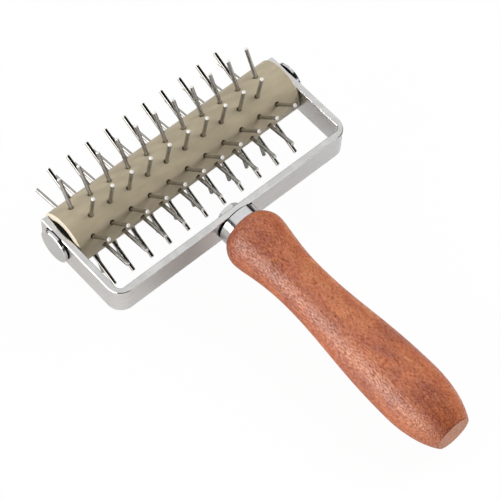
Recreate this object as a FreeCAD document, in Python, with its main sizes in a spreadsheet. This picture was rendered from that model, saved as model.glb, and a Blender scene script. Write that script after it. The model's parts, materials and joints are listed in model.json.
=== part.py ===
"""Dough docker: a spiked roller that spins in a U-shaped yoke with a turned wooden handle.

The tool is drawn in its own axes: X along the roller's axle, the handle towards -Y, Z square to the yoke.
It is then laid down as it lies on a table: two rows of pins and the swell of the handle touch the table
(Z = 0), and the origin is the middle of the footprint.
"""
import FreeCAD, Part
import math
import os
import re
import Sketcher

VECTOR = FreeCAD.Vector
X_DIRECTION = VECTOR(1, 0, 0)
Y_DIRECTION = VECTOR(0, 1, 0)
SMOOTH_ANGLE = math.radians(20)

# Driving dimensions in millimetres: name, value, what it is
SIZES = [
    ("inner_width", 120.0, "clear width between the yoke's arms"),
    ("bar_width", 14.0, "width of the yoke's flat bar"),
    ("bar_thickness", 3.0, "thickness of the yoke's flat bar"),
    ("bend_radius", 2.5, "inside radius of the yoke's two corners"),
    ("corner_radius", 6.8, "outside radius of the yoke's two corners"),
    ("arm_overhang", 10.0, "arm length beyond the axle"),
    ("arm_end_radius", 1.0, "rounding of the corners at the arm ends"),
    ("bar_chamfer", 0.25, "chamfer along the bar's edges"),
    ("crossbar_gap", 5.77, "clear gap between the pins' sweep and the bolt head"),
    ("roller_diameter", 25.0, "outside diameter of the roller"),
    ("roller_chamfer", 0.3, "chamfer at the roller's ends"),
    ("left_end_play", 0.2, "gap between the roller and its left thrust washer"),
    ("right_end_play", 0.4, "gap between the roller and its right thrust washer"),
    ("running_clearance", 0.05, "radial clearance of the roller on its axle"),
    ("pin_diameter", 1.7, "diameter of a pin"),
    ("pin_exposed", 15.0, "pin length outside the roller"),
    ("pin_depth", 7.0, "pin length inside the roller"),
    ("pin_offset", 2.4, "sideways distance of the pins from the roller's centre line"),
    ("pin_chamfer", 0.25, "chamfer round a pin's blunt tip"),
    ("pin_hole_clearance", 0.02, "radial clearance of a pin in its hole"),
    ("pin_mouth", 0.35, "countersink at the mouth of a pin hole"),
    ("pin_pitch", 10.0, "spacing of the pins along a row"),
    ("long_row_margin", 7.5, "first pin of a long row, from the roller's left end"),
    ("short_row_margin", 11.45, "first pin of a short row, from the roller's left end"),
    ("last_pin_margin", 8.0, "least distance from a row's last pin to the roller's right end"),
    ("axle_diameter", 6.0, "diameter of the axle"),
    ("axle_hole_clearance", 0.05, "radial clearance of the axle in the arms and washers"),
    ("axle_end_gap", 0.3, "gap between the axle's end and the cap screw's head"),
    ("head_diameter", 15.6, "diameter of the flat heads at the axle's ends"),
    ("head_thickness", 1.4, "thickness of those heads"),
    ("head_chamfer", 0.3, "chamfer round those heads"),
    ("head_washer_diameter", 15.3, "outside diameter of the washer under a head"),
    ("head_washer_thickness", 0.6, "thickness of the washer under a head"),
    ("thrust_washer_diameter", 19.0, "outside diameter of the washer at a roller end"),
    ("thrust_washer_thickness", 0.3, "thickness of the washer at a roller end"),
    ("cap_thread_diameter", 4.0, "diameter of the cap screw's shank"),
    ("cap_thread_length", 12.0, "length of the cap screw's shank"),
    ("cap_hole_spare", 1.5, "depth of the axle's tapped hole beyond the cap screw"),
    ("cap_slot_width", 1.2, "width of the cap screw's driver slot"),
    ("cap_slot_depth", 0.8, "depth of the cap screw's driver slot"),
    ("thread_clearance", 0.05, "radial clearance of a screw in its tapped hole"),
    ("bolt_diameter", 6.0, "diameter of the handle bolt"),
    ("bolt_length", 28.0, "length of the handle bolt under its head"),
    ("bolt_head_flats", 10.0, "width across the flats of the bolt's hex head"),
    ("bolt_head_height", 2.8, "height of the bolt's hex head"),
    ("bolt_tip_chamfer", 0.6, "chamfer at the bolt's tip"),
    ("bolt_hole_clearance", 0.1, "radial clearance of the bolt in crossbar and ferrule"),
    ("bolt_tip_gap", 2.0, "depth of the handle's hole beyond the bolt"),
    ("ferrule_washer_diameter", 17.4, "outside diameter of the washer behind the crossbar"),
    ("ferrule_washer_thickness", 0.6, "thickness of the washer between crossbar and ferrule"),
    ("ferrule_diameter", 19.6, "outside diameter of the ferrule"),
    ("ferrule_length", 4.6, "length of the ferrule"),
    ("ferrule_wall", 1.0, "wall of the ferrule's cup"),
    ("ferrule_base", 1.2, "base of the ferrule's cup"),
    ("ferrule_chamfer", 0.3, "chamfer of the ferrule's edge at the crossbar"),
    ("tenon_clearance", 0.05, "clearance of the handle's tenon in the ferrule"),
    ("insert_diameter", 9.0, "outside diameter of the threaded insert"),
    ("insert_length", 18.0, "length of the threaded insert"),
    ("insert_clearance", 0.02, "radial clearance of the insert in the wood"),
    ("handle_front_lip", 0.3, "step from the ferrule out to the wood"),
    ("bulb_diameter", 27.2, "largest diameter of the handle's front bulb"),
    ("bulb_from_front", 7.4, "handle front to the bulb's largest diameter"),
    ("waist_diameter", 21.4, "smallest diameter of the handle's waist"),
    ("waist_from_bulb", 28.6, "bulb to waist"),
    ("swell_diameter", 28.2, "largest diameter of the handle's rear swell"),
    ("swell_from_waist", 61.7, "waist to swell"),
    ("butt_diameter", 16.2, "diameter of the handle's flat butt"),
    ("butt_from_swell", 24.4, "swell to butt"),
    ("overrun", 1.0, "how far a cutting shape runs past the face it cuts"),
]
# Number of pairs of rows round the roller, each a long row and a short row
ROW_PAIRS = 5
# Turn of the bolt's hex head about its own axis, from a flat upwards, in degrees
BOLT_TURN = -18
# How far the curve's handles reach between two turning points of the handle's outline
BULB_BACK_SHARE, WAIST_FRONT_SHARE = 0.18, 0.55
WAIST_BACK_SHARE, SWELL_FRONT_SHARE = 0.35, 0.46

# Sizes that several pieces share, as expressions of the driving dimensions
PIN_SURFACE = "sqrt(roller_diameter ^ 2 / 4 - pin_offset ^ 2)"
PIN_FOOT = f"({PIN_SURFACE} - pin_depth)"
PIN_TIP = f"({PIN_SURFACE} + pin_exposed)"
TIP_EDGE = "(pin_diameter / 2 - pin_chamfer)"
PIN_SWEEP = f"sqrt({PIN_TIP} ^ 2 + (pin_offset + {TIP_EDGE}) ^ 2)"
CROSSBAR_REACH = f"({PIN_SWEEP} + crossbar_gap + bolt_head_height)"
HALF_INSIDE = "(inner_width / 2)"
HALF_OUTSIDE = "(inner_width / 2 + bar_thickness)"
HEAD_SEAT = f"({HALF_OUTSIDE} + head_washer_thickness)"
HEAD_FACE = f"({HEAD_SEAT} + head_thickness)"
ROLLER_LENGTH = "(inner_width - 2 * thrust_washer_thickness - left_end_play - right_end_play)"
ROLLER_LEFT = f"(left_end_play + thrust_washer_thickness - {HALF_INSIDE})"
AXLE_HOLE_RADIUS = "(axle_diameter / 2 + axle_hole_clearance)"
BOLT_HOLE_RADIUS = "(bolt_diameter / 2 + bolt_hole_clearance)"
TENON_LENGTH = "(ferrule_length - ferrule_base - tenon_clearance)"
HANDLE_SETBACK = "(bar_thickness + ferrule_washer_thickness + ferrule_length)"

doc = FreeCAD.newDocument("dough_docker")
sheet = doc.addObject("Spreadsheet::Sheet", "Sizes")
for line, (alias, size, note) in enumerate(SIZES, start=1):
    sheet.set(f"A{line}", note)
    sheet.set(f"B{line}", str(size))
    sheet.setAlias(f"B{line}", alias)
doc.recompute()
ALIASES = re.compile(r"\b(" + "|".join(alias for alias, size, note in SIZES) + r")\b")
sub_parts = []


def number(expression):
    """What an expression of the driving dimensions comes to."""
    return float(sheet.evalExpression(expression))


def bound(expression):
    """The expression as another object writes it, with the sheet's name before each dimension."""
    return ALIASES.sub(r"Sizes.\1", expression)


def row_count(margin):
    """Expression for the pins in a row: as many as fit between its first pin and the last margin."""
    return f"floor(({ROLLER_LENGTH} - {margin} - last_pin_margin) / pin_pitch) + 1"


def new_body(label):
    """An empty body, listed as one sub-part of the tool."""
    body = doc.addObject("PartDesign::Body", label)
    body.Label = label
    sub_parts.append(body)
    return body


def origin_feature(body, role):
    """The body's own plane or axis of that role."""
    return next(item for item in body.Origin.OriginFeatures if item.Role == role)


def new_sketch(body, name, plane):
    """An empty sketch on one of the body's own planes."""
    sketch = body.newObject("Sketcher::SketchObject", name)
    sketch.AttachmentSupport = [(origin_feature(body, plane), "")]
    sketch.MapMode = "FlatFace"
    return sketch


def fix_point(sketch, edge, end, place):
    """Hold an edge's start (1) or end (2) at a pair of expressions from the sketch's origin."""
    for kind, axis, expression in zip(("DistanceX", "DistanceY"), (-2, -1), place):
        if expression == "0":
            sketch.addConstraint(Sketcher.Constraint("PointOnObject", edge, end, axis))
            continue
        index = sketch.addConstraint(Sketcher.Constraint(kind, edge, end, number(expression)))
        sketch.setExpression(f"Constraints[{index}]", bound(expression))


def fix_radius(sketch, edge, expression):
    """Hold the radius of an arc or a circle at an expression."""
    index = sketch.addConstraint(Sketcher.Constraint("Radius", edge, number(expression)))
    sketch.setExpression(f"Constraints[{index}]", bound(expression))


def quarter_arc(start, end, convex):
    """Quarter circle between two points of an outline that runs clockwise; the arc runs anticlockwise."""
    chord = end - start
    right = VECTOR(chord.y, -chord.x, 0) / 2
    centre = (start + end) / 2 + (right if convex else -right)
    ends = (end, start) if convex else (start, end)
    first, last = [math.atan2(point.y - centre.y, point.x - centre.x) for point in ends]
    if last < first:
        last += math.tau
    return Part.ArcOfCircle(Part.Circle(centre, VECTOR(0, 0, 1), (start - centre).Length), first, last)


def outline(body, name, plane, corners, arcs=None):
    """A closed sketch through corners, given in order as pairs of expressions.

    arcs maps a corner's index to (radius, convex) where the run that leaves it is a quarter circle;
    an outline with arcs runs clockwise.
    """
    sketch = new_sketch(body, name, plane)
    points = [VECTOR(number(x), number(y), 0) for x, y in corners]
    rounds = arcs or {}
    for index, start in enumerate(points):
        end = points[(index + 1) % len(points)]
        if index in rounds:
            sketch.addGeometry(quarter_arc(start, end, rounds[index][1]))
        else:
            sketch.addGeometry(Part.LineSegment(start, end))
    for index, place in enumerate(corners):
        before = (index - 1) % len(points)
        meets_end = 1 if before in rounds and rounds[before][1] else 2
        leaves_from = 2 if index in rounds and rounds[index][1] else 1
        sketch.addConstraint(Sketcher.Constraint("Coincident", before, meets_end, index, leaves_from))
        fix_point(sketch, index, leaves_from, place)
        if index in rounds:
            fix_radius(sketch, index, rounds[index][0])
    return sketch


def circle(body, name, plane, radius):
    """A sketch of one circle about the body's origin."""
    sketch = new_sketch(body, name, plane)
    sketch.addGeometry(Part.Circle(VECTOR(), VECTOR(0, 0, 1), number(radius)))
    sketch.addConstraint(Sketcher.Constraint("Coincident", 0, 3, -1, 1))
    fix_radius(sketch, 0, radius)
    return sketch


def revolve(body, sketch, axis, kind="PartDesign::Revolution"):
    """Turn a sketch right round one of its axes, adding or cutting."""
    feature = body.newObject(kind, "Turned")
    feature.Profile = sketch
    feature.ReferenceAxis = (sketch, [axis])
    feature.Angle = 360
    return feature


def cut_through(body, sketch):
    """Cut a sketch through the body in both directions."""
    pocket = body.newObject("PartDesign::Pocket", "Cut")
    pocket.Profile = sketch
    pocket.SideType = "Symmetric"
    pocket.Type = "ThroughAll"
    return pocket


def pad(body, sketch, length, side_type):
    """Extrude a sketch by an expression of the driving dimensions."""
    feature = body.newObject("PartDesign::Pad", "Extruded")
    feature.Profile = sketch
    feature.SideType = side_type
    feature.setExpression("Length", bound(length))
    return feature


def linear_pattern(body, count, name="AlongRow"):
    """A pattern of pins or holes along the roller."""
    pattern = body.newObject("PartDesign::LinearPattern", name)
    pattern.Direction = (origin_feature(body, "X_Axis"), [""])
    pattern.setExpression("Length", bound(f"({count} - 1) * pin_pitch"))
    pattern.setExpression("Occurrences", bound(count))
    return pattern


def sharp_edges(shape):
    """Names of the edges where two faces meet at an angle, without the smooth seams."""
    names = []
    for index, edge in enumerate(shape.Edges, start=1):
        middle = edge.valueAt((edge.FirstParameter + edge.LastParameter) / 2)
        first, second = [face.normalAt(*face.Surface.parameter(middle))
                         for face in shape.ancestorsOfType(edge, Part.Face)]
        if first.getAngle(second) > SMOOTH_ANGLE:
            names.append(f"Edge{index}")
    return names


def end_edges(shape, height):
    """Names of the edges that run along X at that height of Y."""
    names = []
    for index, edge in enumerate(shape.Edges, start=1):
        start, end = [vertex.Point for vertex in edge.Vertexes]
        across = abs(start.x - end.x) > edge.Length / 2
        if across and math.isclose(start.y, height) and math.isclose(end.y, height):
            names.append(f"Edge{index}")
    return names


def mirrored(places):
    """The same corners on the other side of Y, in the order that carries the outline on."""
    return [(f"-({x})", y) for x, y in reversed(places)]


# Pieces of the frame

def make_yoke():
    """Flat bar bent to a U, with square arm ends, chamfered edges, axle holes and a bolt hole."""
    body = new_body("yoke")
    crossbar_back = f"-({CROSSBAR_REACH} + bar_thickness)"
    right_outside = [
        (HALF_OUTSIDE, "arm_overhang"),
        (HALF_OUTSIDE, f"{crossbar_back} + corner_radius"),
        (f"{HALF_OUTSIDE} - corner_radius", crossbar_back),
    ]
    right_inside = [
        (f"{HALF_INSIDE} - bend_radius", f"-{CROSSBAR_REACH}"),
        (HALF_INSIDE, f"bend_radius - {CROSSBAR_REACH}"),
        (HALF_INSIDE, "arm_overhang"),
    ]
    corners = right_outside + mirrored(right_outside) + mirrored(right_inside) + right_inside
    outer, inner = ("corner_radius", True), ("bend_radius", False)
    arcs = {1: outer, 3: outer, 7: inner, 9: inner}
    bar = pad(body, outline(body, "BarOutline", "XY_Plane", corners, arcs), "bar_width", "Symmetric")
    doc.recompute()
    ends = body.newObject("PartDesign::Fillet", "ArmEnds")
    ends.Base = (bar, end_edges(bar.Shape, number("arm_overhang")))
    ends.setExpression("Radius", bound("min(arm_end_radius; bar_width / 2 - bar_chamfer)"))
    doc.recompute()
    chamfer = body.newObject("PartDesign::Chamfer", "BarEdges")
    chamfer.Base = (ends, sharp_edges(ends.Shape))
    chamfer.setExpression("Size", bound("bar_chamfer"))
    cut_through(body, circle(body, "AxleHoles", "YZ_Plane", AXLE_HOLE_RADIUS))
    cut_through(body, circle(body, "BoltHole", "XZ_Plane", BOLT_HOLE_RADIUS))
    return body


def make_axle_post():
    """Axle with the flat left head, and a tapped hole in its right end."""
    body = new_body("axle_post")
    axle_end = f"({HEAD_SEAT} - axle_end_gap)"
    hole_radius = "cap_thread_diameter / 2 + thread_clearance"
    hole_end = f"{HEAD_SEAT} - cap_thread_length - cap_hole_spare"
    revolve(body, outline(body, "Profile", "XY_Plane", [
        (f"-{HEAD_FACE}", "0"),
        (f"-{HEAD_FACE}", "head_diameter / 2 - head_chamfer"),
        (f"head_chamfer - {HEAD_FACE}", "head_diameter / 2"),
        (f"-{HEAD_SEAT}", "head_diameter / 2"),
        (f"-{HEAD_SEAT}", "axle_diameter / 2"),
        (axle_end, "axle_diameter / 2"),
        (axle_end, hole_radius),
        (hole_end, hole_radius),
        (hole_end, "0"),
    ]), "H_Axis")
    return body


def make_axle_cap_screw():
    """Flat right head with a driver slot, and the shank that screws into the axle."""
    body = new_body("axle_cap_screw")
    shank_end = f"{HEAD_SEAT} - cap_thread_length"
    revolve(body, outline(body, "Profile", "XY_Plane", [
        (shank_end, "0"),
        (shank_end, "cap_thread_diameter / 2"),
        (HEAD_SEAT, "cap_thread_diameter / 2"),
        (HEAD_SEAT, "head_diameter / 2"),
        (f"{HEAD_FACE} - head_chamfer", "head_diameter / 2"),
        (HEAD_FACE, "head_diameter / 2 - head_chamfer"),
        (HEAD_FACE, "0"),
    ]), "H_Axis")
    cut_through(body, outline(body, "Slot", "XY_Plane", [
        (f"{HEAD_FACE} - cap_slot_depth", "-cap_slot_width / 2"),
        (f"{HEAD_FACE} + overrun", "-cap_slot_width / 2"),
        (f"{HEAD_FACE} + overrun", "cap_slot_width / 2"),
        (f"{HEAD_FACE} - cap_slot_depth", "cap_slot_width / 2"),
    ]))
    return body


def make_washer(label, start, end, diameter):
    """Flat washer on the axle between two places along it."""
    body = new_body(label)
    revolve(body, outline(body, "Profile", "XY_Plane", [
        (start, AXLE_HOLE_RADIUS),
        (start, f"{diameter} / 2"),
        (end, f"{diameter} / 2"),
        (end, AXLE_HOLE_RADIUS),
    ]), "H_Axis")
    return body


def make_washers():
    """One washer under each head of the axle, and one at each end of the roller."""
    thrust_face = f"{HALF_INSIDE} - thrust_washer_thickness"
    return [
        make_washer("left_head_washer", f"-{HEAD_SEAT}", f"-{HALF_OUTSIDE}", "head_washer_diameter"),
        make_washer("right_head_washer", HALF_OUTSIDE, HEAD_SEAT, "head_washer_diameter"),
        make_washer("left_thrust_washer", f"-{HALF_INSIDE}", f"-({thrust_face})", "thrust_washer_diameter"),
        make_washer("right_thrust_washer", thrust_face, HALF_INSIDE, "thrust_washer_diameter"),
    ]


def make_handle_bolt():
    """Hex bolt, drawn with a flat upwards: head inside the crossbar, shank along -Y into the handle."""
    body = new_body("handle_bolt")
    corner = "(bolt_head_flats / sqrt(3))"
    flat = "bolt_head_flats / 2"
    hexagon = outline(body, "Hexagon", "XZ_Plane", [
        (corner, "0"),
        (f"{corner} / 2", flat),
        (f"-{corner} / 2", flat),
        (f"-{corner}", "0"),
        (f"-{corner} / 2", f"-{flat}"),
        (f"{corner} / 2", f"-{flat}"),
    ])
    pad(body, hexagon, "bolt_head_height", "One side").Reversed = True
    rim = f"({corner} + overrun)"
    revolve(body, outline(body, "HeadChamfer", "XY_Plane", [
        (flat, "bolt_head_height"),
        (flat, "bolt_head_height + overrun"),
        (rim, "bolt_head_height + overrun"),
        (rim, f"bolt_head_height - ({rim} - {flat}) * tan(30)"),
    ]), "V_Axis", "PartDesign::Groove")
    revolve(body, outline(body, "Shank", "XY_Plane", [
        ("0", "0"),
        ("bolt_diameter / 2", "0"),
        ("bolt_diameter / 2", "bolt_tip_chamfer - bolt_length"),
        ("bolt_diameter / 2 - bolt_tip_chamfer", "-bolt_length"),
        ("0", "-bolt_length"),
    ]), "V_Axis")
    return body


def make_ferrule_washer():
    """Flat washer on the bolt, between the crossbar and the ferrule."""
    body = new_body("ferrule_washer")
    revolve(body, outline(body, "Profile", "XY_Plane", [
        (BOLT_HOLE_RADIUS, "0"),
        ("ferrule_washer_diameter / 2", "0"),
        ("ferrule_washer_diameter / 2", "-ferrule_washer_thickness"),
        (BOLT_HOLE_RADIUS, "-ferrule_washer_thickness"),
    ]), "V_Axis")
    return body


def make_ferrule():
    """Polished cup: its base against the washer, its open end over the handle's tenon."""
    body = new_body("ferrule")
    inside = "ferrule_diameter / 2 - ferrule_wall"
    revolve(body, outline(body, "Profile", "XY_Plane", [
        (BOLT_HOLE_RADIUS, "0"),
        ("ferrule_diameter / 2 - ferrule_chamfer", "0"),
        ("ferrule_diameter / 2", "-ferrule_chamfer"),
        ("ferrule_diameter / 2", "-ferrule_length"),
        (inside, "-ferrule_length"),
        (inside, "-ferrule_base"),
        (BOLT_HOLE_RADIUS, "-ferrule_base"),
    ]), "V_Axis")
    return body


def make_handle_insert():
    """Threaded insert, flush with the front of the handle's tenon."""
    body = new_body("handle_insert")
    insert_end = f"{TENON_LENGTH} - insert_length"
    bore = "bolt_diameter / 2 + thread_clearance"
    revolve(body, outline(body, "Profile", "XY_Plane", [
        (bore, TENON_LENGTH),
        ("insert_diameter / 2", TENON_LENGTH),
        ("insert_diameter / 2", insert_end),
        (bore, insert_end),
    ]), "V_Axis")
    return body


def turned_end(radius, face_radius, length):
    """Long half axis of the ellipse that falls from the radius to the face radius over that length."""
    return length / math.sqrt(1 - (face_radius / radius) ** 2)


def end_curve(radius, place, face_radius, face):
    """Elliptical run of the handle's outline between its largest radius and an end face."""
    half_axis = turned_end(radius, face_radius, abs(place - face))
    tips = [VECTOR(radius, place, 0), VECTOR(0, place + half_axis, 0)]
    if half_axis > radius:
        tips.reverse()
    ellipse = Part.Ellipse(*tips, VECTOR(0, place, 0))
    ends = ((radius, place), (face_radius, face))
    first, last = sorted(ellipse.parameter(VECTOR(*end, 0)) for end in ends)
    if last - first > math.pi:
        first, last = last - math.tau, first
    return ellipse.toShape(first, last)


def s_curve(start, end, start_share, end_share):
    """Cubic run between two turning points, level at both; shares say how far each end stays level."""
    run = end.y - start.y
    curve = Part.BezierCurve()
    curve.setPoles([
        start,
        VECTOR(start.x, start.y + start_share * run, 0),
        VECTOR(end.x, end.y - end_share * run, 0),
        end,
    ])
    return curve.toShape()


def make_handle():
    """Turned wooden handle: tenon, front bulb, waist, rear swell and flat butt, bored for the insert."""
    tenon_front = number(TENON_LENGTH)
    tenon_radius = number("ferrule_diameter / 2 - ferrule_wall - tenon_clearance")
    front_radius = number("ferrule_diameter / 2 + handle_front_lip")
    bulb = VECTOR(number("bulb_diameter / 2"), -number("bulb_from_front"), 0)
    waist = VECTOR(number("waist_diameter / 2"), bulb.y - number("waist_from_bulb"), 0)
    swell = VECTOR(number("swell_diameter / 2"), waist.y - number("swell_from_waist"), 0)
    butt = VECTOR(number("butt_diameter / 2"), swell.y - number("butt_from_swell"), 0)
    insert_radius = number("insert_diameter / 2 + insert_clearance")
    insert_end = tenon_front - number("insert_length")
    hole_radius = number(BOLT_HOLE_RADIUS)
    hole_end = number(f"{HANDLE_SETBACK} - bolt_length - bolt_tip_gap")
    bore = [
        butt,
        VECTOR(0, butt.y, 0),
        VECTOR(0, hole_end, 0),
        VECTOR(hole_radius, hole_end, 0),
        VECTOR(hole_radius, insert_end, 0),
        VECTOR(insert_radius, insert_end, 0),
        VECTOR(insert_radius, tenon_front, 0),
        VECTOR(tenon_radius, tenon_front, 0),
        VECTOR(tenon_radius, 0, 0),
        VECTOR(front_radius, 0, 0),
    ]
    edges = [Part.LineSegment(start, end).toShape() for start, end in zip(bore, bore[1:])]
    edges.append(end_curve(bulb.x, bulb.y, front_radius, 0))
    edges.append(s_curve(bulb, waist, BULB_BACK_SHARE, WAIST_FRONT_SHARE))
    edges.append(s_curve(waist, swell, WAIST_BACK_SHARE, SWELL_FRONT_SHARE))
    edges.append(end_curve(swell.x, swell.y, butt.x, butt.y))
    profile = Part.Face(Part.Wire(Part.__sortEdges__(edges)))
    handle = doc.addObject("Part::Feature", "handle")
    handle.Label = "handle"
    handle.Shape = profile.revolve(VECTOR(), VECTOR(0, 1, 0), 360)
    sub_parts.append(handle)
    return handle


# Pieces of the roller

def beside_centre(sketch, turn):
    """Turn a pin's or a hole's sketch about the axle, and move it off the centre line to its own side."""
    sketch.AttachmentOffset = FreeCAD.Placement(VECTOR(), FreeCAD.Rotation(X_DIRECTION, turn))
    sketch.setExpression("AttachmentOffset.Base.y", bound(f"-pin_offset * sin({turn})"))
    sketch.setExpression("AttachmentOffset.Base.z", bound(f"pin_offset * cos({turn})"))


def pin_hole(body, name, margin, turn):
    """One blind hole with a countersunk mouth, for the first pin of a row turned about the axle."""
    hole_radius = "(pin_diameter / 2 + pin_hole_clearance)"
    sketch = outline(body, name, "XZ_Plane", [
        (margin, PIN_FOOT),
        (f"{margin} + {hole_radius}", PIN_FOOT),
        (f"{margin} + {hole_radius}", f"{PIN_SURFACE} - pin_mouth"),
        (f"{margin} + {hole_radius} + pin_mouth + overrun", f"{PIN_SURFACE} + overrun"),
        (margin, f"{PIN_SURFACE} + overrun"),
    ])
    axis_ends = [(margin, PIN_FOOT), (margin, PIN_SURFACE)]
    foot, mouth = [VECTOR(number(x), number(y), 0) for x, y in axis_ends]
    axis = sketch.addGeometry(Part.LineSegment(foot, mouth), True)
    for end, place in enumerate(axis_ends, start=1):
        fix_point(sketch, axis, end, place)
    beside_centre(sketch, turn)
    return revolve(body, sketch, "Axis0", "PartDesign::Groove")


def make_roller_barrel():
    """Plastic roller with its bore, and holes for rows of pins, long and short by turns."""
    body = new_body("roller_barrel")
    bore = "axle_diameter / 2 + running_clearance"
    radius = "roller_diameter / 2"
    revolve(body, outline(body, "Profile", "XY_Plane", [
        ("0", bore),
        ("0", f"{radius} - roller_chamfer"),
        ("roller_chamfer", radius),
        (f"{ROLLER_LENGTH} - roller_chamfer", radius),
        (ROLLER_LENGTH, f"{radius} - roller_chamfer"),
        (ROLLER_LENGTH, bore),
    ]), "H_Axis")
    row_kinds = (("Long", "long_row_margin", 0), ("Short", "short_row_margin", 180 / ROW_PAIRS))
    for name, margin, turn in row_kinds:
        doc.recompute()
        hole = pin_hole(body, f"{name}RowHole", margin, turn)
        doc.recompute()
        rows = body.newObject("PartDesign::MultiTransform", f"{name}Rows")
        rows.Originals = [hole]
        along = linear_pattern(body, row_count(margin), f"{name}RowHoles")
        around = body.newObject("PartDesign::PolarPattern", f"{name}RowsRound")
        around.Axis = (origin_feature(body, "X_Axis"), [""])
        around.Angle = 360
        around.Occurrences = ROW_PAIRS
        rows.Transformations = [along, around]
        body.Tip = rows
    return body


def make_pin_row(label, margin):
    """A row of blunt pins that stand up along Z, each a separate solid."""
    body = new_body(label)
    profile = outline(body, "Profile", "XZ_Plane", [
        ("0", PIN_FOOT),
        ("pin_diameter / 2", PIN_FOOT),
        ("pin_diameter / 2", f"{PIN_TIP} - pin_chamfer"),
        (TIP_EDGE, PIN_TIP),
        ("0", PIN_TIP),
    ])
    beside_centre(profile, 0)
    pin = revolve(body, profile, "V_Axis")
    pins = linear_pattern(body, row_count(margin))
    pins.Originals = [pin]
    body.Tip = pins
    return body


# How the tool lies on the table

def row_angles():
    """Angles of the rows' pins from straight up towards the handle, with the two lowest rows level.

    Each pin stands parallel to a radius but beside it, so its tip runs ahead of its angle by a lean.
    """
    step = 180 / ROW_PAIRS
    tip_edge_loss = number(TIP_EDGE) / math.tan(math.radians(step / 2))
    lean = math.degrees(math.atan2(number("pin_offset"), number(PIN_TIP) - tip_edge_loss))
    return [step * (row + 0.5) - lean for row in range(2 * ROW_PAIRS)]


def pin_reach(angle):
    """How far a pin reaches along a direction that lies at an angle ahead of it."""
    turn = math.radians(angle)
    beside = number("pin_offset") * math.sin(turn) + number(TIP_EDGE) * abs(math.sin(turn))
    return number(PIN_TIP) * math.cos(turn) + beside


def lying_placement():
    """Where the tool's own axes lie when the pins and the handle's swell rest on the table.

    The handle's end is an ellipse about the swell, so its lowest point below a tilted axis is known
    exactly, and the tilt that sets it on the table is the root of a quadratic in the tilt's sine.
    """
    height = max(pin_reach(180 - angle) for angle in row_angles())
    handle_front = number(f"{CROSSBAR_REACH} + {HANDLE_SETBACK}")
    swell = handle_front + number("bulb_from_front + waist_from_bulb + swell_from_waist")
    radius, butt_radius = number("swell_diameter / 2"), number("butt_diameter / 2")
    half_axis = turned_end(radius, butt_radius, number("butt_from_swell"))
    square = swell ** 2 - half_axis ** 2 + radius ** 2
    half_linear = height * swell
    sine = (half_linear - math.sqrt(half_linear ** 2 - square * (height ** 2 - radius ** 2))) / square
    tilt = math.asin(sine)
    butt = swell + number("butt_from_swell")
    front_reach = max(pin_reach(270 - angle) for angle in row_angles())
    back_reach = butt * math.cos(tilt) + butt_radius * math.sin(tilt)
    middle = (back_reach - front_reach) / 2
    return FreeCAD.Placement(VECTOR(0, middle, height), FreeCAD.Rotation(X_DIRECTION, math.degrees(tilt)))


def along_tool(lying, x, y):
    """The lying placement of a piece whose own origin stands at (x, y) in the tool's axes."""
    return lying.multiply(FreeCAD.Placement(VECTOR(x, y, 0), FreeCAD.Rotation()))


def on_axle(lying, x, angle):
    """Placement of a roller piece at x along the axle, turned about it from straight up."""
    return FreeCAD.Placement(lying.Base + VECTOR(x, 0, 0), FreeCAD.Rotation(X_DIRECTION, angle))


def build():
    """Make every piece and lay it where the tool lies."""
    lying = lying_placement()
    bolt_seat = along_tool(lying, 0, -number(CROSSBAR_REACH))
    bolt_turn = FreeCAD.Placement(VECTOR(), FreeCAD.Rotation(Y_DIRECTION, BOLT_TURN))
    crossbar_back = -number(f"{CROSSBAR_REACH} + bar_thickness")
    ferrule_front = crossbar_back - number("ferrule_washer_thickness")
    handle_front = -number(f"{CROSSBAR_REACH} + {HANDLE_SETBACK}")
    for piece in [make_yoke(), make_axle_post(), make_axle_cap_screw()] + make_washers():
        piece.Placement = lying
    make_handle_bolt().Placement = bolt_seat.multiply(bolt_turn)
    make_ferrule_washer().Placement = along_tool(lying, 0, crossbar_back)
    make_ferrule().Placement = along_tool(lying, 0, ferrule_front)
    make_handle_insert().Placement = along_tool(lying, 0, handle_front)
    make_handle().Placement = along_tool(lying, 0, handle_front)
    angles = row_angles()
    roller_left = number(ROLLER_LEFT)
    make_roller_barrel().Placement = on_axle(lying, roller_left, angles[1])
    for row, angle in enumerate(angles, start=1):
        margin = "short_row_margin" if row % 2 else "long_row_margin"
        pins = make_pin_row(f"pin_row_{row:02d}", margin)
        pins.Placement = on_axle(lying, roller_left + number(margin), angle)


def check():
    """Stop before anything is written if an object failed, a shape is bad or a cut took nothing away."""
    for item in doc.Objects:
        if "Invalid" in item.State or "Error" in item.State:
            raise RuntimeError(f"{item.Label} did not build: {item.State}")
        cuts = item.TypeId in ("PartDesign::Pocket", "PartDesign::Groove")
        if cuts and item.Shape.Volume >= item.BaseFeature.Shape.Volume:
            raise RuntimeError(f"{item.Label} cuts nothing")
    for piece in sub_parts:
        if piece.Shape.isNull() or not piece.Shape.isValid() or not piece.Shape.Solids:
            raise RuntimeError(f"{piece.Label} has no valid shape")


build()
doc.recompute()
check()
os.makedirs("parts", exist_ok=True)
for piece in sub_parts:
    piece.Shape.exportStep(f"parts/{piece.Label}.step")
    print(piece.Label, len(piece.Shape.Solids), "solids", round(piece.Shape.Volume, 3), "mm3")
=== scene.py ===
"""Dough docker: finishes, studio and camera round the packed model, laid out as a Blender add-on.

The tool's own axes are X along the axle, -Y along the handle and Z square to the yoke. The frame's joint
gives their origin on the axle, and the flat butt's normal gives their tilt, so the patterns of every
finish are laid out in millimetres along the tool and not along the table.
"""
import json
import math
from typing import NamedTuple

import bpy
import numpy as np
from bpy.props import FloatProperty, FloatVectorProperty, PointerProperty
from mathutils import Euler, Matrix, Vector

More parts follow.
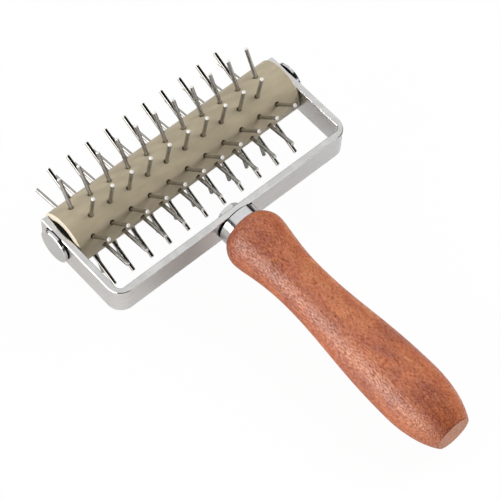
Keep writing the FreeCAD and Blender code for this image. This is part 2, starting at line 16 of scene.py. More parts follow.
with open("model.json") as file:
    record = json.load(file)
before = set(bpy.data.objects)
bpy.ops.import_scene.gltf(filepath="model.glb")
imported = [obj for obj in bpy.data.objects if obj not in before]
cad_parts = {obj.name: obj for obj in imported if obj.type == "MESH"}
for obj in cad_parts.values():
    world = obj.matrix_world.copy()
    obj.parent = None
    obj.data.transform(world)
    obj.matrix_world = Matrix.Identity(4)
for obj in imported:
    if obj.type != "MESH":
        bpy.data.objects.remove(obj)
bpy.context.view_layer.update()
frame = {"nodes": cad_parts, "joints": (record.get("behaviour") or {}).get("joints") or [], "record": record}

bl_info = {
    "name": "Dough docker",
    "version": (1, 0, 0),
    "blender": (4, 5, 0),
    "location": "View3D > Sidebar > Docker",
    "description": "Finishes, studio and camera for a dough docker",
    "category": "Object",
}

# Millimetres in a metre, and a micrometre in metres
MILLIMETRES = 1000.0
MICROMETRE = 0.000001
AXLE = Vector(frame["joints"][0]["pos_m"])
BUTT = next(mount for mount in frame["record"]["mounts"] if mount["name"] == "butt_face")
TILT = math.atan2(-BUTT["axis"][2], -BUTT["axis"][1])
PIN_ROWS = sorted(name for name in frame["nodes"] if name.startswith("pin_row"))
WASHERS = sorted(name for name in frame["nodes"] if name.endswith("washer"))

# Depths below the roller's surface, in millimetres, where the painted shade in a pin hole is darkest and
# where it begins
HOLE_DARK, HOLE_SHADE = 0.30, 0.10
# Heights above the butt's face, in millimetres, where sawn wood gives way to varnished wood
SAWN_UNTIL, VARNISH_FROM = 0.02, 0.06
# Width in millimetres over which the painted shade line at the ferrule's seam and the painted highlights at
# the roller's edges fade
LINE_FADE = 0.1
# How much rougher the painted highlight at a pin's tip is than its shank, and how metallic it stays
TIP_HIGHLIGHT_ROUGHNESS, TIP_HIGHLIGHT_METAL = 0.4, 0.4
# Width of the wood's glints in widths of its flecks, and their height in depths of its pores
GLINT_WIDTH, GLINT_HEIGHT = 1.6, 0.6
# The floor's half side in metres, and where its paper has wholly given way, in radii of the paper
FLOOR_HALF = 3.0
PAPER_END = 1.3
# Direction to the middle of the bright sky, and cosines of the angles from it where it starts and is full
SKY_MIDDLE = (0.20, 0.55, 0.81)
SKY_START, SKY_FULL = 0.60, 0.70
# Width of the camera's frame in millimetres
SENSOR_WIDTH = 36.0
WHITE = (1.0, 1.0, 1.0)
# Places of a Mix node's two colours among its inputs, and of the mixed colour among its outputs
MIX_COLOURS = slice(6, 8)
MIX_RESULT = 2


class Softbox(NamedTuple):
    """A light's turn to the right of +Y and elevation in degrees, and its distance and size in metres.

    One that isn't mirrored gives no highlights.
    """
    azimuth: float
    elevation: float
    reach: float
    width: float
    height: float
    mirrored: bool = True


KEY_SOFTBOX = Softbox(azimuth=-78, elevation=16, reach=0.85, width=1.30, height=0.50)
SIDE_SOFTBOX = Softbox(azimuth=112, elevation=36, reach=1.0, width=0.8, height=0.6, mirrored=False)
FILL_CARD = Softbox(azimuth=157, elevation=21, reach=1.0, width=0.35, height=0.30)


# Measures taken from the packed model

def tool_points(node):
    """Points of a node's mesh in the tool's own axes, in millimetres from the middle of the axle."""
    vertices = frame["nodes"][node].data.vertices
    points = np.empty(len(vertices) * 3)
    vertices.foreach_get("co", points)
    turn = np.array(Matrix.Rotation(TILT, 3, "X"))
    return (points.reshape(-1, 3) - np.array(AXLE)) @ turn * MILLIMETRES


def reach_of(node):
    """Greatest distance of a node's points from the axle's line."""
    points = tool_points(node)
    return float(np.hypot(points[:, 1], points[:, 2]).max())


def span_of(node, axis):
    """Lowest and highest place of a node along one of the tool's own axes."""
    places = tool_points(node)[:, axis]
    return float(places.min()), float(places.max())


# Settings

def colour(name, description, value):
    """A colour that the sidebar shows as a swatch."""
    return FloatVectorProperty(name=name, description=description, default=value, subtype="COLOR",
                               size=3, min=0.0, max=1.0)


def size(name, description, value):
    """A length in millimetres."""
    return FloatProperty(name=name, description=description, default=value, min=0.001)


def share(name, description, value):
    """A share from nothing to the whole."""
    return FloatProperty(name=name, description=description, default=value, min=0.0, max=1.0,
                         subtype="FACTOR")


def angle(name, description, degrees):
    """An angle, kept in radians."""
    return FloatProperty(name=name, description=description, default=math.radians(degrees), unit="ROTATION")


def distance(name, description, metres):
    """A length in metres."""
    return FloatProperty(name=name, description=description, default=metres, unit="LENGTH")


def glow(name, description, value):
    """How bright the face of a light looks, where 1 is white."""
    return FloatProperty(name=name, description=description, default=value, min=0.0)


class DockerWood(bpy.types.PropertyGroup):
    """Stained wood of the handle."""
    stain: colour("Stain", "Main tone of the stained wood", (0.45, 0.093, 0.017))
    deep: colour("Deep tone", "Where the stain has soaked in", (0.29, 0.042, 0.007))
    pale: colour("Pale tone", "Where the wood has taken less stain", (0.64, 0.212, 0.056))
    pore: colour("Pores", "Dark flecks along the grain", (0.13, 0.022, 0.004))
    end_grain: colour("Butt", "Sawn end grain at the butt", (0.72, 0.355, 0.225))
    cloud: size("Stain clouds", "Width of the slow changes of tone, in mm", 13.0)
    mottle: size("Mottling", "Width of the figure in the wood, in mm", 1.3)
    fleck: size("Flecks", "Width of the flecks along the grain, in mm", 0.27)
    rim: size("Rims", "Width of the darker rims at both ends, in mm", 0.9)
    rim_shade: share("Rim shade", "How dark the rims at both ends are", 0.6)


class DockerMetal(bpy.types.PropertyGroup):
    """Metals of the yoke, axle, ferrule, bolt, insert and pins."""
    yoke: colour("Yoke", "Satin steel of the bent bar", (0.75, 0.745, 0.74))
    chrome: colour("Chrome", "Polished axle heads", (0.68, 0.68, 0.675))
    ferrule: colour("Ferrule", "Polished cup at the handle", (0.74, 0.74, 0.75))
    bolt: colour("Bolt", "Plated hex bolt", (0.80, 0.80, 0.79))
    # Painted shade: the dark line at the ferrule's edge stands in for the shadow in the gap beside its
    # washer
    seam: colour("Seam", "Dark line at the ferrule's edge beside its washer", (0.05, 0.05, 0.05))
    shank: colour("Pin shanks", "Drawn steel of the pins' sides", (0.46, 0.45, 0.43))
    # Painted highlight: the pins' tips are painted pale in place of the light they catch
    tip: colour("Pin tips", "Steel worn pale at the pins' tips", (0.92, 0.92, 0.91))
    brass: colour("Insert", "Threaded insert in the wood", (0.72, 0.55, 0.25))
    brush: size("Brushing", "Spacing of the brush lines on the yoke, in mm", 0.22)
    # Length of the painted highlight at a pin's tip
    tip_highlight: size("Worn tips", "Length of the pale wear at a pin's tip, in mm", 0.3)
    seam_shade_width: size("Seam width", "Width of the dark line at the ferrule's edge, in mm", 0.15)


class DockerPlastic(bpy.types.PropertyGroup):
    """Plastics of the roller and the washers."""
    roller: colour("Roller", "Beige plastic of the roller", (0.50, 0.428, 0.300))
    # Painted highlight: the paler colour at the roller's end edges stands in for the light they catch
    roller_edge_highlight: colour("Roller edge", "Paler cut edge at the roller's ends", (0.74, 0.68, 0.56))
    # Painted shade: the dark mouths of the pin holes stand in for the shadow in their recesses
    painted_hole_shade: colour("Pin holes", "Dark mouths of the pin holes", (0.060, 0.048, 0.032))
    # Black of the nylon washers, dark and dull enough to stand in also for the painted shade in the gaps
    # beside them
    washer: colour("Washers", "Black nylon washers", (0.004, 0.004, 0.004))
    mottle: size("Mottling", "Width of the soft changes of tone on the roller, in mm", 6.0)
    # Width of the painted highlight at the roller's ends
    edge: size("Edge width", "Width of the paler edge at the roller's ends, in mm", 0.30)


class DockerStage(bpy.types.PropertyGroup):
    """Camera, lights and floor."""
    azimuth: angle("Azimuth", "Turn of the view to the right of +Y", 40.16)
    elevation: angle("Elevation", "How steeply the view looks down", 55.70)
    roll: angle("Roll", "Lean of the camera about its own axis", -1.876)
    range: distance("Distance", "Camera to the point it aims at", 0.85418)
    aim: FloatVectorProperty(name="Aim", description="Point at the middle of the picture", size=3,
                             default=(-0.004268, 0.017693, 0.02), subtype="TRANSLATION", unit="LENGTH")
    lens: FloatProperty(name="Lens", description="Focal length on a 36 mm frame", default=150.71,
                        unit="CAMERA")
    floor: colour("Floor", "Pale paper under the tool", (0.84, 0.84, 0.84))
    surround: colour("Surround", "Dim floor beyond the paper, as the tool mirrors it", (0.04, 0.04, 0.04))
    paper: distance("Paper", "Radius at which the paper gives way to the dim floor", 0.26)
    shine: share("Floor glow", "How far the floor glows by itself, which makes shadows faint", 0.965)
    mirror: share("Mirrored glow", "How much of the floor's glow the tool mirrors", 0.06)
    backdrop: share("Backdrop", "Brightness of the room behind the floor", 0.965)
    ahead: share("Sky ahead", "Brightness of the sky high on the far side", 0.90)
    behind: share("Sky behind", "Brightness of the rest of the sky, as behind the camera", 0.02)
    key_glow: glow("Key light", "Brightness of the low softbox at the left", 4.9)
    key_tint: colour("Key tint", "Warm tint of the low softbox at the left", (1.0, 0.96, 0.90))
    side_glow: glow("Side light", "Brightness of the softbox at the right", 5.2)
    fill_glow: glow("Fill light", "Brightness of the card at the right on the camera's side", 1.2)


# Node helpers

def put(tree, kind, inputs=None, **settings):
    """A node with some settings and some unlinked input values."""
    node = tree.nodes.new(kind)
    for name, value in settings.items():
        setattr(node, name, value)
    for name, value in (inputs or {}).items():
        node.inputs[name].default_value = value
    return node


def join(tree, source, target):
    """A link from an output to an input."""
    tree.links.new(source, target)


def maths(tree, operation, first, second=None):
    """The result of a sum on one or two values, each a number or an output."""
    node = put(tree, "ShaderNodeMath", operation=operation)
    for socket, value in zip(node.inputs, (first, second)):
        if value is None:
            continue
        if isinstance(value, (int, float)):
            socket.default_value = value
        else:
            join(tree, value, socket)
    return node.outputs[0]


def ramp(tree, value, low, high, start=0.0, end=1.0):
    """The value carried smoothly from the range low to high into the range start to end."""
    node = put(tree, "ShaderNodeMapRange", interpolation_type="SMOOTHSTEP")
    for name, number in (("From Min", low), ("From Max", high), ("To Min", start), ("To Max", end)):
        node.inputs[name].default_value = number
    join(tree, value, node.inputs["Value"])
    return node.outputs["Result"]


def mixed(tree, factor, first, second):
    """Two colours mixed by a mask; each is a fixed colour or an output."""
    node = put(tree, "ShaderNodeMix", data_type="RGBA")
    join(tree, factor, node.inputs["Factor"])
    for socket, value in zip(node.inputs[MIX_COLOURS], (first, second)):
        if isinstance(value, bpy.types.NodeSocket):
            join(tree, value, socket)
        else:
            socket.default_value = (*value, 1.0)
    return node.outputs[MIX_RESULT]


def noise(tree, vector, width, detail=2.0, roughness=0.5, distortion=0.0):
    """Noise whose features are about that wide, in the units of the vector."""
    node = put(tree, "ShaderNodeTexNoise", {"Scale": 1.0 / width, "Detail": detail,
                                            "Roughness": roughness, "Distortion": distortion})
    join(tree, vector, node.inputs["Vector"])
    return node.outputs["Fac"]


def stretched(tree, vector, factors):
    """The vector with each axis scaled: a pattern on it is drawn out where the factor is small."""
    node = put(tree, "ShaderNodeMapping", {"Scale": factors})
    join(tree, vector, node.inputs["Vector"])
    return node.outputs["Vector"]


def tool_axes(tree):
    """Place on the piece in the tool's own axes, in millimetres from the middle of the axle."""
    turn = Matrix.Rotation(-TILT, 3, "X")
    place = put(tree, "ShaderNodeTexCoord")
    mapping = put(tree, "ShaderNodeMapping", {
        "Location": turn @ AXLE * -MILLIMETRES,
        "Rotation": (-TILT, 0.0, 0.0),
        "Scale": (MILLIMETRES, MILLIMETRES, MILLIMETRES),
    })
    join(tree, place.outputs["Object"], mapping.inputs["Vector"])
    return mapping.outputs["Vector"]


def parts_of(tree, vector):
    """The three numbers of a vector."""
    node = put(tree, "ShaderNodeSeparateXYZ")
    join(tree, vector, node.inputs[0])
    return node.outputs


def radius_of(tree, first, second):
    """Distance from an axis, from the two coordinates square to it."""
    squares = [maths(tree, "POWER", value, 2.0) for value in (first, second)]
    return maths(tree, "SQRT", maths(tree, "ADD", *squares))


def new_group(name, inputs, outputs):
    """An empty shader group with named sockets, and its input and output nodes."""
    group = bpy.data.node_groups.new(name, "ShaderNodeTree")
    for socket, kind, default in inputs:
        made = group.interface.new_socket(socket, in_out="INPUT", socket_type=kind)
        if default is not None:
            made.default_value = default
    for socket, kind in outputs:
        group.interface.new_socket(socket, in_out="OUTPUT", socket_type=kind)
    return group, put(group, "NodeGroupInput"), put(group, "NodeGroupOutput")


def wear_group():
    """Wear shared by the metals: soft clouds of handling, and fine scratches that run along a direction.

    Clouds are slow noise. Scratches are noise on a vector that the caller has already drawn out along
    the lines, cut off so that only its crests mark.
    """
    group, given, result = new_group(
        "handling_wear",
        [("Vector", "NodeSocketVector", None), ("Lines", "NodeSocketVector", None),
         ("Cloud Scale", "NodeSocketFloat", 0.15), ("Line Scale", "NodeSocketFloat", 4.0)],
        [("Clouds", "NodeSocketFloat"), ("Scratches", "NodeSocketFloat")])
    clouds = put(group, "ShaderNodeTexNoise", {"Detail": 4.0, "Roughness": 0.6})
    lines = put(group, "ShaderNodeTexNoise", {"Detail": 3.0, "Roughness": 0.7})
    join(group, given.outputs["Vector"], clouds.inputs["Vector"])
    join(group, given.outputs["Cloud Scale"], clouds.inputs["Scale"])
    join(group, given.outputs["Lines"], lines.inputs["Vector"])
    join(group, given.outputs["Line Scale"], lines.inputs["Scale"])
    join(group, ramp(group, clouds.outputs["Fac"], low=0.3, high=0.7), result.inputs["Clouds"])
    join(group, ramp(group, lines.outputs["Fac"], low=0.35, high=0.65), result.inputs["Scratches"])
    return group


def wear(tree, vector, lines, cloud_width, line_width):
    """Clouds and scratches from the shared group, at this piece's own sizes."""
    group = bpy.data.node_groups.get("handling_wear") or wear_group()
    node = put(tree, "ShaderNodeGroup", node_tree=group)
    join(tree, vector, node.inputs["Vector"])
    join(tree, lines, node.inputs["Lines"])
    node.inputs["Cloud Scale"].default_value = 1.0 / cloud_width
    node.inputs["Line Scale"].default_value = 1.0 / line_width
    return node.outputs["Clouds"], node.outputs["Scratches"]


def new_finish(name, **constants):
    """A material with one Principled shader whose constant inputs are set on it."""
    material = bpy.data.materials.new(name)
    material.use_nodes = True
    tree = material.node_tree
    shader = tree.nodes["Principled BSDF"]
    for socket, value in constants.items():
        shader.inputs[socket.replace("_", " ")].default_value = value
    return material, tree, shader


def paint(tree, shader, tone):
    """The shader's colour."""
    join(tree, tone, shader.inputs["Base Color"])


def roughen(tree, shader, mask, smooth, rough, low=0.0, high=1.0):
    """The shader's roughness, from smooth where the mask is low to rough where it is high."""
    join(tree, ramp(tree, mask, low, high, smooth, rough), shader.inputs["Roughness"])


def bump(tree, shader, height, depth):
    """Relief of that depth, in metres, on the shader."""
    node = put(tree, "ShaderNodeBump", {"Strength": 1.0, "Distance": depth})
    join(tree, height, node.inputs["Height"])
    join(tree, node.outputs["Normal"], shader.inputs["Normal"])


def scaled(tone, factor):
    """A colour with every channel scaled."""
    return tuple(channel * factor for channel in tone)


def clouded(tree, clouds, tone, factor):
    """A tone that is whole in the clouds and scaled by the factor between them."""
    return mixed(tree, clouds, scaled(tone, factor), tone)


# Finishes

def satin_steel(settings):
    """Yoke: satin steel brushed along the bar, with faint clouds from handling."""
    material, tree, shader = new_finish("satin_steel", Metallic=1.0)
    vector = tool_axes(tree)
    lines = stretched(tree, vector, (0.02, 0.02, 1.0))
    clouds, scratches = wear(tree, vector, lines, cloud_width=9.0, line_width=settings.brush)
    tone = clouded(tree, clouds, settings.yoke, factor=0.94)
    brushed = ramp(tree, scratches, low=0.0, high=1.0, end=0.38)
    paint(tree, shader, mixed(tree, brushed, tone, scaled(settings.yoke, factor=0.66)))
    roughen(tree, shader, clouds, smooth=0.17, rough=0.25)
    bump(tree, shader, scratches, depth=4 * MICROMETRE)
    return material


def turned_chrome(settings):
    """Axle heads: polished discs with faint rings from the lathe."""
    material, tree, shader = new_finish("turned_chrome", Metallic=1.0)
    vector = tool_axes(tree)
    place = parts_of(tree, vector)
    rings = put(tree, "ShaderNodeCombineXYZ")
    join(tree, radius_of(tree, place["Y"], place["Z"]), rings.inputs["X"])
    clouds, scratches = wear(tree, vector, rings.outputs[0], cloud_width=5.0, line_width=0.3)
    paint(tree, shader, clouded(tree, clouds, settings.chrome, factor=0.92))
    roughen(tree, shader, clouds, smooth=0.16, rough=0.24)
    bump(tree, shader, scratches, depth=3 * MICROMETRE)
    return material


def ferrule_chrome(settings):
    """Ferrule: polished cup with faint polishing lines round it and a line of painted shade at its edge
    beside its washer.
    """
    material, tree, shader = new_finish("ferrule_chrome", Metallic=1.0)
    vector = tool_axes(tree)
    lines = stretched(tree, vector, (0.05, 1.0, 0.05))
    clouds, scratches = wear(tree, vector, lines, cloud_width=4.0, line_width=0.35)
    tone = clouded(tree, clouds, settings.ferrule, factor=0.93)
    # Painted shade: a dark line at the ferrule's edge beside its washer, where the gap is in shadow
    edge = span_of("ferrule", axis=1)[1] - settings.seam_shade_width
    seam = ramp(tree, parts_of(tree, vector)["Y"], edge - LINE_FADE, edge)
    paint(tree, shader, mixed(tree, seam, tone, settings.seam))
    roughen(tree, shader, clouds, smooth=0.10, rough=0.17)
    bump(tree, shader, scratches, depth=3 * MICROMETRE)
    return material


def plated_steel(settings):
    """Bolt: plated steel, a little cloudy."""
    material, tree, shader = new_finish("plated_steel", Metallic=1.0)
    vector = tool_axes(tree)
    lines = stretched(tree, vector, (0.2, 1.0, 0.2))
    clouds, scratches = wear(tree, vector, lines, cloud_width=2.5, line_width=0.4)
    paint(tree, shader, clouded(tree, clouds, settings.bolt, factor=0.86))
    roughen(tree, shader, clouds, smooth=0.22, rough=0.34)
    bump(tree, shader, scratches, depth=3 * MICROMETRE)
    return material


def bright_steel(settings):
    """Pins: bright drawn steel with small changes of tone, and a painted highlight, pale and dull, at the
    blunt tips.
    """
    material, tree, shader = new_finish("bright_steel")
    vector = tool_axes(tree)
    place = parts_of(tree, vector)
    lines = stretched(tree, vector, (1.0, 0.25, 0.25))
    clouds, scratches = wear(tree, vector, lines, cloud_width=3.5, line_width=0.3)
    tone = clouded(tree, clouds, settings.shank, factor=0.8)
    reach = max(reach_of(row) for row in PIN_ROWS)
    radius = radius_of(tree, place["Y"], place["Z"])
    # Painted highlight: the tips are painted pale, duller and less metallic, so they stay bright under any
    # light
    tip_highlight = ramp(tree, radius, reach - 2.0 * settings.tip_highlight, reach - settings.tip_highlight)
    paint(tree, shader, mixed(tree, tip_highlight, tone, settings.tip))
    polish = ramp(tree, clouds, low=0.0, high=1.0, start=0.07, end=0.13)
    dulled = maths(tree, "MULTIPLY", tip_highlight, TIP_HIGHLIGHT_ROUGHNESS)
    join(tree, maths(tree, "ADD", polish, dulled), shader.inputs["Roughness"])
    metal = ramp(tree, tip_highlight, low=0.0, high=1.0, start=1.0, end=TIP_HIGHLIGHT_METAL)
    join(tree, metal, shader.inputs["Metallic"])
    bump(tree, shader, scratches, depth=2 * MICROMETRE)
    return material


def turned_brass(settings):
    """Insert: brass with turning rings."""
    material, tree, shader = new_finish("turned_brass", Metallic=1.0)
    vector = tool_axes(tree)
    lines = stretched(tree, vector, (0.05, 1.0, 0.05))
    clouds, scratches = wear(tree, vector, lines, cloud_width=4.0, line_width=0.5)
    paint(tree, shader, clouded(tree, clouds, settings.brass, factor=0.85))
    roughen(tree, shader, clouds, smooth=0.25, rough=0.35)
    bump(tree, shader, scratches, depth=5 * MICROMETRE)
    return material


def beige_plastic(settings):
    """Roller: smooth beige plastic, softly mottled, with painted highlights at its end edges and painted
    shade in the mouths of the pin holes.
    """
    material, tree, shader = new_finish("beige_plastic")
    vector = tool_axes(tree)
    place = parts_of(tree, vector)
    along_roller = stretched(tree, vector, (0.4, 1.0, 1.0))
    soft = noise(tree, along_roller, settings.mottle, detail=4.0, roughness=0.55)
    fine = noise(tree, vector, width=0.5)
    tone = clouded(tree, ramp(tree, soft, low=0.35, high=0.65), settings.roller, factor=0.84)
    speckle = ramp(tree, fine, low=0.4, high=0.7, end=0.18)
    tone = mixed(tree, speckle, tone, scaled(settings.roller, factor=0.82))
    surface = reach_of("roller_barrel")
    radius = radius_of(tree, place["Y"], place["Z"])
    # Painted shade in the recesses of the pin holes, darkest deepest down
    hole_shade_mask = ramp(tree, radius, surface - HOLE_DARK, surface - HOLE_SHADE, start=1.0, end=0.0)
    tone = mixed(tree, hole_shade_mask, tone, settings.painted_hole_shade)
    left, right = span_of("roller_barrel", axis=0)
    left_end, right_end = left + settings.edge, right - settings.edge
    half_fade = LINE_FADE / 2
    # Painted highlights: the roller's end edges are painted paler, as if catching the light
    left_highlight = ramp(tree, place["X"], left_end - half_fade, left_end + half_fade, start=1.0, end=0.0)
    right_highlight = ramp(tree, place["X"], right_end - half_fade, right_end + half_fade)
    edge_highlights = maths(tree, "ADD", left_highlight, right_highlight)
    paint(tree, shader, mixed(tree, edge_highlights, tone, settings.roller_edge_highlight))
    roughen(tree, shader, soft, smooth=0.36, rough=0.46, low=0.3, high=0.7)
    bump(tree, shader, fine, depth=6 * MICROMETRE)
    return material


def black_nylon_gap_shade(settings):
    """Washers: black nylon with a fine grain, near black and almost without shine, so that they also stand
    in for the painted shade in the gaps.
    """
    material, tree, shader = new_finish("black_nylon_gap_shade", Specular_IOR_Level=0.03)
    vector = tool_axes(tree)
    grain = noise(tree, vector, width=0.3, detail=3.0)
    paint(tree, shader, mixed(tree, grain, settings.washer, scaled(settings.washer, factor=2.0)))
    roughen(tree, shader, grain, smooth=0.65, rough=0.8, low=0.3, high=0.7)
    bump(tree, shader, grain, depth=10 * MICROMETRE)
    return material


def grain_of(tree, vector, width, run, detail, roughness, distortion=0.0):
    """Noise that is about that wide across the wood's grain, and width / run long along it."""
    along_grain = stretched(tree, vector, (1.0, run, 1.0))
    return noise(tree, along_grain, width, detail, roughness, distortion)


def stained_wood(settings):
    """Handle: reddish stained wood, cloudy, mottled and flecked along the grain; dark rims, sawn butt."""
    material, tree, shader = new_finish("stained_wood", Specular_IOR_Level=0.25, Coat_IOR=2.15,
                                        Coat_Roughness=0.52)
    vector = tool_axes(tree)
    place = parts_of(tree, vector)
    clouds = grain_of(tree, vector, settings.cloud, run=0.45, detail=4.0, roughness=0.65, distortion=0.6)
    figure = grain_of(tree, vector, settings.mottle, run=0.17, detail=5.0, roughness=0.75, distortion=0.2)
    flecks = grain_of(tree, vector, settings.fleck, run=0.20, detail=1.0, roughness=0.6)
    glints = grain_of(tree, vector, settings.fleck * GLINT_WIDTH, run=0.16, detail=3.0, roughness=0.7)
    tone = mixed(tree, ramp(tree, clouds, low=0.36, high=0.56), settings.deep, settings.stain)
    # Each layer's mask, where the mask begins and is full, how strong the layer is, and its tone
    layers = (
        (clouds, 0.52, 0.68, 0.45, settings.pale),
        (figure, 0.48, 0.68, 0.50, settings.pale),
        (figure, 0.50, 0.34, 0.55, settings.deep),
        (glints, 0.48, 0.62, 0.45, settings.pale),
        (flecks, 0.53, 0.66, 0.60, settings.pore),
    )
    for mask, begins, full, strength, layer_tone in layers:
        tone = mixed(tree, ramp(tree, mask, begins, full, end=strength), tone, layer_tone)
    front = span_of("ferrule", axis=1)[0]
    butt = span_of("handle", axis=1)[0]
    front_rim = ramp(tree, place["Y"], front - settings.rim, front, end=settings.rim_shade)
    butt_rim = ramp(tree, place["Y"], butt, butt + settings.rim, start=settings.rim_shade, end=0.0)
    tone = mixed(tree, maths(tree, "ADD", front_rim, butt_rim), tone, settings.pore)
    sawn = ramp(tree, place["Y"], butt + SAWN_UNTIL, butt + VARNISH_FROM, start=1.0, end=0.0)
    soaked = ramp(tree, glints, low=0.4, high=0.7, end=0.5)
    end_grain = mixed(tree, soaked, settings.end_grain, settings.stain)
    paint(tree, shader, mixed(tree, sawn, tone, end_grain))
    roughen(tree, shader, figure, smooth=0.55, rough=0.42, low=0.3, high=0.7)
    varnish = ramp(tree, flecks, low=0.42, high=0.58, start=1.0, end=0.2)
    varnished = maths(tree, "SUBTRACT", 1.0, sawn)
    join(tree, maths(tree, "MULTIPLY", varnish, varnished), shader.inputs["Coat Weight"])
    pores = ramp(tree, flecks, low=0.5, high=0.68)
    ridges = maths(tree, "MULTIPLY", glints, GLINT_HEIGHT)
    bump(tree, shader, maths(tree, "SUBTRACT", ridges, pores), depth=100 * MICROMETRE)
    return material


def studio_paper(settings):
    """Floor: matt pale paper that gives way to a dim floor.

    To the camera it glows by itself, and a little so in the metals, but it lights the tool as plain paper
    does.
    """
    material, tree, shader = new_finish("studio_paper", Roughness=0.9, Specular_IOR_Level=0.2)
    place = put(tree, "ShaderNodeTexCoord")
    fibre = noise(tree, place.outputs["Object"], width=0.02, detail=3.0)
    paper = clouded(tree, fibre, settings.floor, factor=0.995)
    spot = parts_of(tree, place.outputs["Object"])
    radius = radius_of(tree, spot["X"], spot["Y"])
    beyond = ramp(tree, radius, settings.paper, PAPER_END * settings.paper)
    paint(tree, shader, mixed(tree, beyond, paper, settings.surround))
    lit = put(tree, "ShaderNodeEmission")
    path = put(tree, "ShaderNodeLightPath").outputs
    mirrored = maths(tree, "MULTIPLY", path["Is Glossy Ray"], settings.mirror)
    seen = maths(tree, "MULTIPLY", maths(tree, "ADD", path["Is Camera Ray"], mirrored), settings.shine)
    both = put(tree, "ShaderNodeMixShader")
    join(tree, seen, both.inputs[0])
    join(tree, shader.outputs[0], both.inputs[1])
    join(tree, lit.outputs[0], both.inputs[2])
    join(tree, both.outputs[0], tree.nodes["Material Output"].inputs["Surface"])
    return material


def dress(material, *nodes):
    """Give CAD nodes a finish in place of their plain one."""
    for name in nodes:
        for slot in frame["nodes"][name].material_slots:
            slot.material = material


# Operators, one for each piece or group of like pieces

class DressYoke(bpy.types.Operator):
    """Finish the bent bar in satin steel"""
    bl_idname = "docker.dress_yoke"
    bl_label = "Yoke"

    def execute(self, context):
        dress(satin_steel(context.scene.docker_metal), "yoke")
        return {"FINISHED"}


class DressAxle(bpy.types.Operator):
    """Finish the axle and its two flat heads in turned chrome"""
    bl_idname = "docker.dress_axle"
    bl_label = "Axle and heads"

    def execute(self, context):
        dress(turned_chrome(context.scene.docker_metal), "axle_post", "axle_cap_screw")
        return {"FINISHED"}


class DressWashers(bpy.types.Operator):
    """Finish the five washers in black nylon, dull enough to stand in also for the shade in the gaps"""
    bl_idname = "docker.dress_washers"
    bl_label = "Washers"

    def execute(self, context):
        dress(black_nylon_gap_shade(context.scene.docker_plastic), *WASHERS)
        return {"FINISHED"}


class DressRoller(bpy.types.Operator):
    """Finish the roller in beige plastic"""
    bl_idname = "docker.dress_roller"
    bl_label = "Roller"

    def execute(self, context):
        dress(beige_plastic(context.scene.docker_plastic), "roller_barrel")
        return {"FINISHED"}


class DressPins(bpy.types.Operator):
    """Finish every row of pins in bright steel"""
    bl_idname = "docker.dress_pins"
    bl_label = "Pins"

    def execute(self, context):
        dress(bright_steel(context.scene.docker_metal), *PIN_ROWS)
        return {"FINISHED"}


class DressFittings(bpy.types.Operator):
    """Finish the bolt, the ferrule and the insert that hold the handle"""
    bl_idname = "docker.dress_fittings"
    bl_label = "Bolt, ferrule and insert"

    def execute(self, context):
        settings = context.scene.docker_metal
        dress(plated_steel(settings), "handle_bolt")
        dress(ferrule_chrome(settings), "ferrule")
        dress(turned_brass(settings), "handle_insert")
        return {"FINISHED"}


class DressHandle(bpy.types.Operator):
    """Finish the turned handle in stained wood"""
    bl_idname = "docker.dress_handle"
    bl_label = "Handle"

    def execute(self, context):
        dress(stained_wood(context.scene.docker_wood), "handle")
        return {"FINISHED"}


def add_floor(settings):
    """A square of pale paper on the table."""
    half = FLOOR_HALF
    mesh = bpy.data.meshes.new("studio_floor")
    mesh.from_pydata([(-half, -half, 0), (half, -half, 0), (half, half, 0), (-half, half, 0)], [],
                     [(0, 1, 2, 3)])
    mesh.materials.append(studio_paper(settings))
    floor = bpy.data.objects.new("studio_floor", mesh)
    bpy.context.scene.collection.objects.link(floor)


def add_softbox(name, box, brightness, tint=WHITE):
    """A rectangular light that faces the tool.

    Its power is its brightness times pi times its area, so its size doesn't change how bright it looks.
    """
    lamp = bpy.data.lights.new(name, "AREA")
    lamp.shape = "RECTANGLE"
    lamp.size = box.width
    lamp.size_y = box.height
    lamp.energy = brightness * math.pi * box.width * box.height
    lamp.color = tint
    light = bpy.data.objects.new(name, lamp)
    light.visible_glossy = box.mirrored
    azimuth, elevation = math.radians(box.azimuth), math.radians(box.elevation)
    turn = Euler((math.pi / 2 - elevation, 0.0, math.pi - azimuth)).to_matrix()
    light.matrix_world = Matrix.Translation(turn @ Vector((0.0, 0.0, box.reach))) @ turn.to_4x4()
    bpy.context.scene.collection.objects.link(light)


def add_sky(settings):
    """The room: for the tool a sky that is bright high on the far side, for the camera an even backdrop."""
    world = bpy.data.worlds.new("studio_sky")
    world.use_nodes = True
    tree = world.node_tree
    place = put(tree, "ShaderNodeTexCoord")
    towards = put(tree, "ShaderNodeVectorMath", {1: SKY_MIDDLE}, operation="DOT_PRODUCT")
    join(tree, place.outputs["Generated"], towards.inputs[0])
    sky = ramp(tree, towards.outputs["Value"], SKY_START, SKY_FULL, settings.behind, settings.ahead)
    seen = put(tree, "ShaderNodeMix", {"B": settings.backdrop}, data_type="FLOAT")
    join(tree, put(tree, "ShaderNodeLightPath").outputs["Is Camera Ray"], seen.inputs["Factor"])
    join(tree, sky, seen.inputs["A"])
    background = tree.nodes["Background"]
    background.inputs["Color"].default_value = (*WHITE, 1.0)
    join(tree, seen.outputs["Result"], background.inputs["Strength"])
    bpy.context.scene.world = world


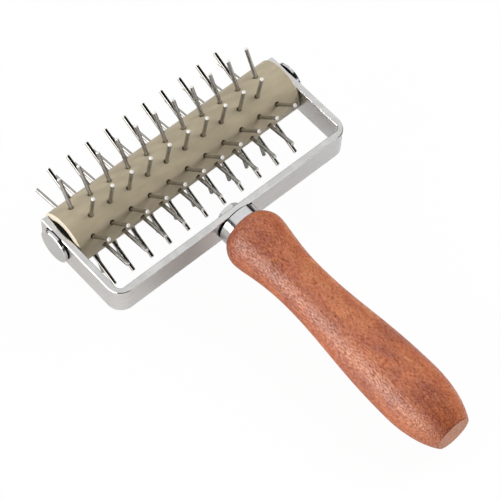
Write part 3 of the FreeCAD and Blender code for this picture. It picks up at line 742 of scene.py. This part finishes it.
def add_camera(settings):
    """The camera at the photograph's angle: turned, tipped, rolled and drawn back from its aim."""
    turn = Euler((math.pi / 2 - settings.elevation, 0.0, -settings.azimuth)).to_matrix()
    turn = turn @ Matrix.Rotation(settings.roll, 3, "Z")
    lens = bpy.data.cameras.new("photo_camera")
    lens.lens = settings.lens
    lens.sensor_width = SENSOR_WIDTH
    camera = bpy.data.objects.new("photo_camera", lens)
    place = Vector(settings.aim) + turn @ Vector((0.0, 0.0, settings.range))
    camera.matrix_world = Matrix.Translation(place) @ turn.to_4x4()
    bpy.context.scene.collection.objects.link(camera)
    bpy.context.scene.camera = camera


class SetStage(bpy.types.Operator):
    """Lay the pale floor, set the soft lights and place the camera"""
    bl_idname = "docker.set_stage"
    bl_label = "Stage"

    def execute(self, context):
        scene = context.scene
        settings = scene.docker_stage
        add_floor(settings)
        add_softbox("key_softbox", KEY_SOFTBOX, settings.key_glow, settings.key_tint)
        add_softbox("side_softbox", SIDE_SOFTBOX, settings.side_glow)
        add_softbox("fill_card", FILL_CARD, settings.fill_glow)
        add_sky(settings)
        scene.view_settings.view_transform = "Standard"
        add_camera(settings)
        return {"FINISHED"}


GROUPS = {
    "docker_wood": DockerWood,
    "docker_metal": DockerMetal,
    "docker_plastic": DockerPlastic,
    "docker_stage": DockerStage,
}
OPERATORS = [
    DressYoke,
    DressAxle,
    DressWashers,
    DressRoller,
    DressPins,
    DressFittings,
    DressHandle,
    SetStage,
]


class DockerPanel(bpy.types.Panel):
    """Settings of the docker, and a button for each group of pieces"""
    bl_idname = "VIEW3D_PT_docker"
    bl_label = "Dough docker"
    bl_space_type = "VIEW_3D"
    bl_region_type = "UI"
    bl_category = "Docker"

    def draw(self, context):
        for name, group in GROUPS.items():
            box = self.layout.box()
            box.label(text=group.__doc__)
            for setting in group.__annotations__:
                box.prop(getattr(context.scene, name), setting)
        for operator in OPERATORS:
            self.layout.operator(operator.bl_idname)


def register():
    """Register the settings, operators and panel."""
    for group in (*GROUPS.values(), *OPERATORS, DockerPanel):
        bpy.utils.register_class(group)
    for name, group in GROUPS.items():
        setattr(bpy.types.Scene, name, PointerProperty(type=group))


def unregister():
    """Take the settings, operators and panel away again."""
    for name in GROUPS:
        delattr(bpy.types.Scene, name)
    for group in reversed((*GROUPS.values(), *OPERATORS, DockerPanel)):
        bpy.utils.unregister_class(group)


def main():
    """Dress every piece and set the stage."""
    register()
    for operator in OPERATORS:
        family, name = operator.bl_idname.split(".")
        getattr(getattr(bpy.ops, family), name)()


if __name__ == "__main__":
    main()
